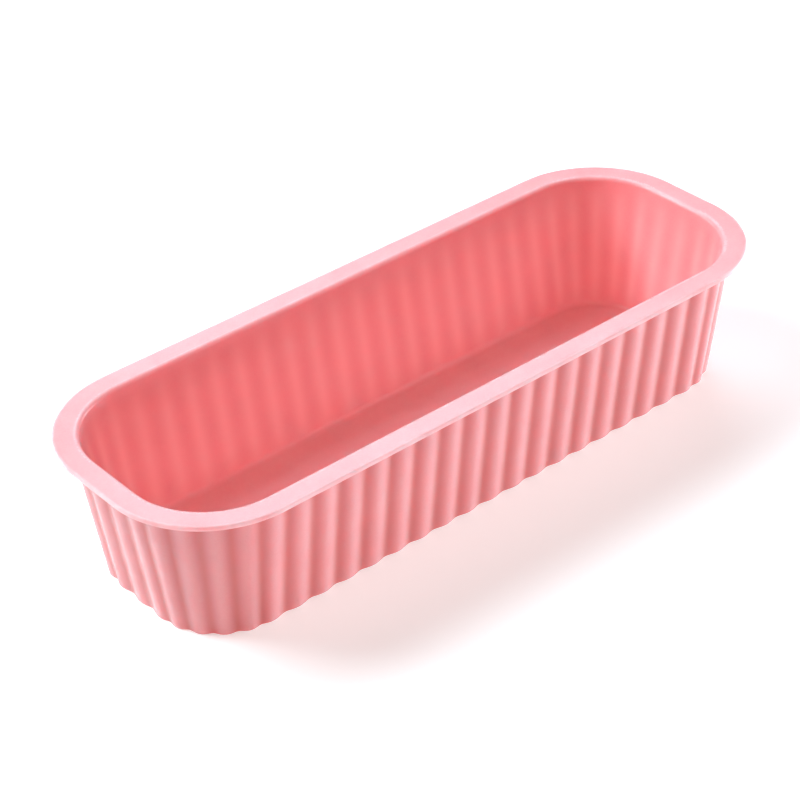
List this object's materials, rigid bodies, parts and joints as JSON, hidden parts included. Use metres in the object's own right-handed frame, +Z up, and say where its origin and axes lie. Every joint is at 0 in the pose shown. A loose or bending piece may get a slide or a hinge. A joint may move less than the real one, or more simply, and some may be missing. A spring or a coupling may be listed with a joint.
{
  "type": "soap loaf mould",
  "caption": "Long narrow silicone loaf mould with round corners, a fluted outer wall, a smooth tapered cavity and a thin flat flange round its open top.",
  "frame": {"origin": "centre of the flat base, on the surface that the mould stands on", "axes": "+X along the loaf's length, +Y across its width, +Z up out of the open mouth"},
  "size_m": [0.25, 0.0922, 0.0496],
  "materials": {
    "silicone": "satin translucent pink silicone rubber"
  },
  "bodies": {
    "root": {"mould_body": "silicone"}
  },
  "joints": []
}
